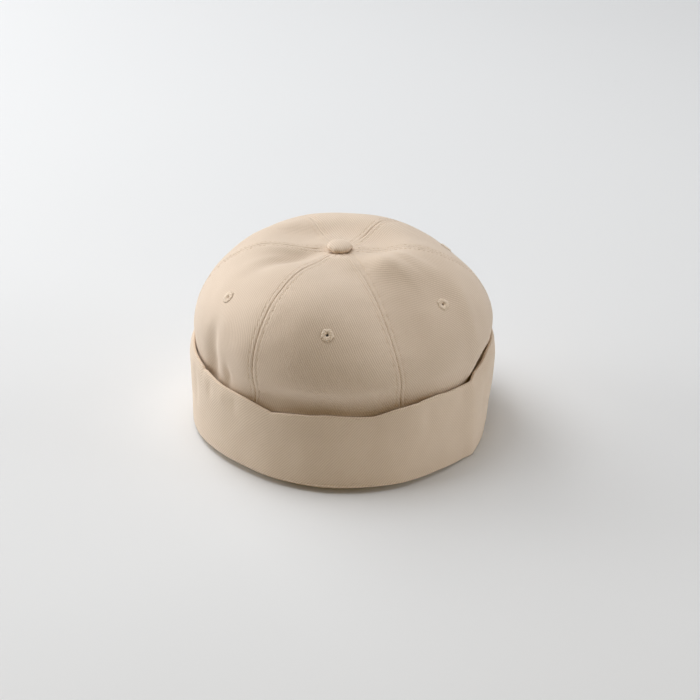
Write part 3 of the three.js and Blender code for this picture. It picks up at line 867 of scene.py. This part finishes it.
# Rows of the cuff's closed section, as radii and heights round the cap: fold, outer wall,
# rolled lip, inner wall, groove for the crown's rim, and turn-in
def cuff_rows(azimuth):
    lip_radius = cuff_value("lip_radius", azimuth)
    lip_height = cuff_lip_height(azimuth)
    lip_curl = cuff_value("lip_curl", azimuth)
    foot_radius = cuff_value("foot_radius", azimuth)
    foot_lift = cuff_value("foot_lift", azimuth)
    soft_lip = cuff_value("lip_radius", azimuth, WALL_SOFTEN)
    soft_foot = cuff_value("foot_radius", azimuth, WALL_SOFTEN)
    lip_round = CUFF_CLOTH / 2
    wall_bottom = foot_lift + FOLD_ROUND
    wall_top = lip_height - lip_round

    def wall(height):
        share = height / lip_height
        bend = np.maximum(1 - (lip_height - height) / CURL_HEIGHT, 0)
        crisp = np.abs(2 * share - 1) ** EDGE_CRISP
        foot = soft_foot + (foot_radius - soft_foot) * crisp
        lip = soft_lip + (lip_radius - soft_lip) * crisp
        straight = foot + (lip - foot) * share * (1 + CUFF_FLARE * (1 - share))
        near_lip = np.maximum(1 - (lip_height - height) / LIP_ROLL_HEIGHT, 0)
        return straight - lip_curl * bend ** 2 - LIP_ROLL * np.clip(lip_curl, 0, 1) * near_lip ** 2

    rows = []
    for angle in np.linspace(0, np.pi / 2, CUFF_FOLD_ROWS, endpoint=False):
        rise = foot_lift + FOLD_ROUND * (1 - math.cos(angle))
        rows.append((foot_radius - FOLD_ROUND * (1 - math.sin(angle)), rise))
    for share in np.linspace(0, 1, CUFF_WALL_ROWS):
        height = wall_bottom + (wall_top - wall_bottom) * share
        rows.append((wall(height), height))
    lip_centre = wall(wall_top) - lip_round
    for angle in np.linspace(0, np.pi, CUFF_LIP_ROWS + 2)[1:-1]:
        rows.append((lip_centre + lip_round * math.cos(angle), wall_top + lip_round * math.sin(angle)))
    for share in np.linspace(1, 0, CUFF_INNER_ROWS):
        height = CHANNEL + (wall_top - CHANNEL) * share
        rows.append((np.maximum(wall(height) - CUFF_CLOTH, CHANNEL_OUT), height))
    turn_in = [
        (CHANNEL_IN, CHANNEL),
        (CHANNEL_IN, TURN_IN_HEIGHT),
        (CHANNEL_IN - TURN_IN_CLOTH / 2, TURN_IN_HEIGHT + TURN_IN_CLOTH / 4),
        (CHANNEL_IN - TURN_IN_CLOTH, TURN_IN_HEIGHT),
        (CHANNEL_IN - TURN_IN_CLOTH, TURN_IN_CLOTH / 2),
        (CHANNEL_IN - TURN_IN_CLOTH / 2, 0),
    ]
    for radius, height in turn_in:
        rows.append((np.full_like(azimuth, radius), np.full_like(azimuth, height)))
    return np.stack([row[0] for row in rows]), np.stack([row[1] for row in rows])


# Push out or in of the cuff's two walls by soft waves and dents, growing from the foot up
def cuff_sway(azimuth, radius, height):
    wall_rows = CUFF_FOLD_ROWS + CUFF_WALL_ROWS + CUFF_LIP_ROWS + CUFF_INNER_ROWS
    on_wall = (np.arange(len(radius)) < wall_rows)[:, None]
    free = np.clip((height - CHANNEL) / SWAY_START, 0, 1) * on_wall
    push = soft_waves(at_azimuth(azimuth, radius, height), CUFF_WAVES, SEED + 2)
    for place, level, depth, half_height, half_width in CUFF_DENTS:
        across = np.radians(azimuth - place) * radius
        push = push + depth * bell(across, half_width) * bell(height - level, half_height)
    return free * push


def build_cuff(material):
    azimuth = np.linspace(-180, 180, CUFF_STEPS, endpoint=False)
    radius, height = cuff_rows(azimuth)
    points = at_azimuth(azimuth, radius + cuff_sway(azimuth, radius, height), height)
    shell = Shell()
    numbers = shell.add_points(points)
    loop = np.concatenate([numbers, numbers[:, :1]], axis=1)
    loop = np.concatenate([loop, loop[:1]], axis=0)
    steps = np.hypot(np.diff(radius.mean(axis=1)), np.diff(height.mean(axis=1)))
    path = np.cumsum(np.concatenate([[0], steps, [FOOT_WIDTH]]))
    down, turn = np.meshgrid(path, np.radians(np.append(azimuth, 180)), indexing="ij")
    cloth = np.stack([turn * RIM_RADIUS, -down], axis=-1)
    v = CUFF_MARGIN + (1 - 2 * CUFF_MARGIN) * down / path[-1]
    bake = np.stack([(turn / np.pi + 1) / 2, v], axis=-1)
    shell.add_grid(loop, cloth, bake, flip=True)
    piece = shell.build("turned_up_cuff", material)
    place_piece(piece, "cuff_cloth", "cuff")


# A procedural material, with short calls for its nodes
class Finish:
    def __init__(self, name):
        self.material = bpy.data.materials.new(name)
        self.material.use_nodes = True
        self.tree = self.material.node_tree
        self.shader = self.tree.nodes["Principled BSDF"]

    def add(self, kind, values=(), **settings):
        node = self.tree.nodes.new(kind)
        for key, value in settings.items():
            setattr(node, key, value)
        for socket, value in zip(node.inputs, values):
            self.feed(socket, value)
        return node

    def feed(self, socket, value):
        if isinstance(value, bpy.types.NodeSocket):
            self.tree.links.new(value, socket)
        else:
            socket.default_value = value

    def look(self, label, value):
        self.feed(self.shader.inputs[label], value)

    def math(self, operation, *values):
        return self.add("ShaderNodeMath", values, operation=operation).outputs[0]

    def vector_math(self, operation, *values):
        return self.add("ShaderNodeVectorMath", values, operation=operation)

    def dot(self, vector, way):
        return self.vector_math("DOT_PRODUCT", vector, way).outputs["Value"]

    def scaled(self, vector, scale):
        node = self.vector_math("SCALE", vector)
        node.inputs["Scale"].default_value = scale
        return node.outputs[0]

    # A cosine or sine wave that runs from 0 to 1
    def wave(self, operation, angle):
        return self.math("MULTIPLY_ADD", self.math(operation, angle), 0.5, 0.5)

    def noise(self, vector, scale, detail):
        node = self.add("ShaderNodeTexNoise", (vector,))
        node.inputs["Scale"].default_value = scale
        node.inputs["Detail"].default_value = detail
        return node

    def ramp(self, factor, dark, light):
        node = self.add("ShaderNodeValToRGB", (factor,))
        node.color_ramp.elements[0].color = (*dark, 1)
        node.color_ramp.elements[1].color = (*light, 1)
        return node.outputs[0]

    # Sum about one half of terms, each a socket and its share
    def tone(self, terms):
        total = 0.5
        for socket, share in terms:
            offset = self.math("SUBTRACT", socket, 0.5)
            total = self.math("MULTIPLY_ADD", offset, share, total)
        return total

    def bump(self, height, strength, distance):
        node = self.add("ShaderNodeBump")
        node.inputs["Strength"].default_value = strength
        node.inputs["Distance"].default_value = distance * MM
        self.feed(node.inputs["Height"], height)
        self.look("Normal", node.outputs[0])


def twill(name, dark, light, lean, bump):
    finish = Finish(name)
    cloth = finish.add("ShaderNodeUVMap", uv_map="cloth").outputs[0]
    drift = finish.noise(cloth, TWILL_DRIFT_SCALE, 2).outputs["Color"]
    centred = finish.vector_math("SUBTRACT", drift, (0.5, 0.5, 0.5)).outputs[0]
    wobble = finish.scaled(centred, TWILL_DRIFT)
    place = finish.vector_math("ADD", cloth, wobble).outputs[0]
    turn = math.radians(lean)
    rib = finish.dot(place, (math.cos(turn) / TWILL_PITCH, -math.sin(turn) / TWILL_PITCH, 0))
    run = finish.dot(place, (math.sin(turn) / TWILL_FLOAT, math.cos(turn) / TWILL_FLOAT, 0))
    ridge = finish.wave("COSINE", finish.math("MULTIPLY", rib, 2 * math.pi))
    stagger = finish.math("MULTIPLY_ADD", finish.math("ROUND", rib), FLOAT_STEP, run)
    segment = finish.wave("COSINE", finish.math("MULTIPLY", stagger, 2 * math.pi))
    floats = finish.math("MULTIPLY", finish.math("MULTIPLY", ridge, segment), 1 - RIB_SHARE)
    weave = finish.math("MULTIPLY_ADD", ridge, RIB_SHARE, floats)
    yarn = finish.noise(cloth, YARN_SCALE, 2).outputs[0]
    solid_place = finish.add("ShaderNodeTexCoord").outputs["Object"]
    patch = finish.noise(solid_place, PATCH_SCALE, 3).outputs[0]
    tone = finish.tone([(weave, WEAVE_TONE), (yarn, YARN_TONE), (patch, PATCH_TONE)])
    finish.look("Base Color", finish.ramp(tone, dark, light))
    finish.look("Roughness", finish.math("MULTIPLY_ADD", patch, TWILL_ROUGHNESS_SPREAD, TWILL_ROUGHNESS))
    finish.bump(finish.math("MULTIPLY_ADD", yarn, YARN_RELIEF, weave), bump, TWILL_RELIEF)
    finish.look("Specular IOR Level", 0.2)
    finish.look("Sheen Weight", 0.25)
    finish.look("Sheen Roughness", 0.5)
    finish.look("Sheen Tint", (1, 0.93, 0.86, 1))
    return finish.material


def thread_finish(name, dark, light):
    finish = Finish(name)
    cloth = finish.add("ShaderNodeUVMap", uv_map="cloth").outputs[0]
    ply = finish.wave("SINE", finish.dot(cloth, PLY_WAY))
    solid_place = finish.add("ShaderNodeTexCoord").outputs["Object"]
    patch = finish.noise(solid_place, THREAD_PATCH_SCALE, 2).outputs[0]
    tone = finish.tone([(ply, PLY_TONE), (patch, THREAD_PATCH_TONE)])
    finish.look("Base Color", finish.ramp(tone, dark, light))
    rough = finish.math("MULTIPLY_ADD", patch, THREAD_ROUGHNESS_SPREAD, THREAD_ROUGHNESS)
    finish.look("Roughness", rough)
    finish.bump(ply, THREAD_BUMP, THREAD_RELIEF)
    finish.look("Specular IOR Level", 0.25)
    finish.look("Sheen Weight", 0.15)
    return finish.material


def floor_finish(name):
    finish = Finish(name)
    place = finish.add("ShaderNodeTexCoord").outputs["Object"]
    patch = finish.noise(place, FLOOR_PATCH_SCALE, 2).outputs[0]
    finish.look("Base Color", finish.ramp(patch, FLOOR_DARK, FLOOR_LIGHT))
    finish.look("Roughness", 0.85)
    finish.look("Specular IOR Level", 0.2)
    return finish.material


def soft_light(name, place, size, watts, colour):
    lamp = bpy.data.lights.new(name, "AREA")
    lamp.shape = "DISK"
    lamp.size = size
    lamp.energy = watts
    lamp.color = colour
    holder = bpy.data.objects.new(name, lamp)
    holder.location = place
    aim = Vector(LAMP_AIM) - Vector(place)
    holder.rotation_euler = aim.to_track_quat("-Z", "Y").to_euler()
    bpy.context.scene.collection.objects.link(holder)


# All light comes from the lamps, so the world is dark
def dark_world():
    world = bpy.data.worlds.new("studio")
    world.use_nodes = True
    world.node_tree.nodes["Background"].inputs["Color"].default_value = (1, 1, 1, 1)
    world.node_tree.nodes["Background"].inputs["Strength"].default_value = 0
    bpy.context.scene.world = world


def photo_camera():
    turn = math.radians(CAMERA_AZIMUTH)
    tilt = math.radians(CAMERA_ELEVATION)
    back = Vector((math.sin(turn) * math.cos(tilt), -math.cos(turn) * math.cos(tilt), math.sin(tilt)))
    right = Vector((math.cos(turn), math.sin(turn), 0))
    up = back.cross(right)
    aim = Vector((0, 0, CAMERA_AIM_HEIGHT)) + right * CAMERA_AIM_RIGHT - up * CAMERA_AIM_DOWN
    stand = (aim + back * CAMERA_DISTANCE) * MM
    lens = bpy.data.cameras.new("camera")
    lens.lens = CAMERA_LENS
    lens.sensor_width = CAMERA_SENSOR
    camera = bpy.data.objects.new("camera", lens)
    camera.matrix_world = Matrix.Translation(stand) @ Matrix((right, up, back)).transposed().to_4x4()
    bpy.context.scene.collection.objects.link(camera)
    bpy.context.scene.camera = camera


# The cap's cloth and threads
crown_finish = twill("crown_twill", **CROWN_TWILL)
cuff_finish = twill("cuff_twill", **CUFF_TWILL)
button_finish = twill("button_twill", **BUTTON_TWILL)
sewing_thread = thread_finish("sewing_thread", *SEWN_COLOURS)
eyelet_thread = thread_finish("eyelet_thread", *EYELET_COLOURS)

# The cap's pieces
rng = np.random.default_rng(SEED)
for index, (name, eyelet) in enumerate(PANELS.items()):
    place = eyelet_place(*eyelet)
    build_panel(index, name, place, crown_finish)
    build_eyelet(name, place, eyelet_thread, rng)
    build_topstitch(index, name, sewing_thread, rng)
build_button(button_finish)
build_cuff(cuff_finish)

# Floor, soft studio light and the photograph's camera
floor_corners = [(FLOOR_HALF * x, FLOOR_HALF * y, 0) for x, y in ((-1, -1), (1, -1), (1, 1), (-1, 1))]
floor_mesh = bpy.data.meshes.new("floor")
floor_mesh.from_pydata(floor_corners, [], [(0, 1, 2, 3)])
floor_mesh.materials.append(floor_finish("pale_floor"))
floor = bpy.data.objects.new("floor", floor_mesh)
bpy.context.scene.collection.objects.link(floor)
for name, lamp in LAMPS.items():
    soft_light(name, *lamp)
dark_world()
bpy.context.scene.view_settings.view_transform = "Standard"
photo_camera()
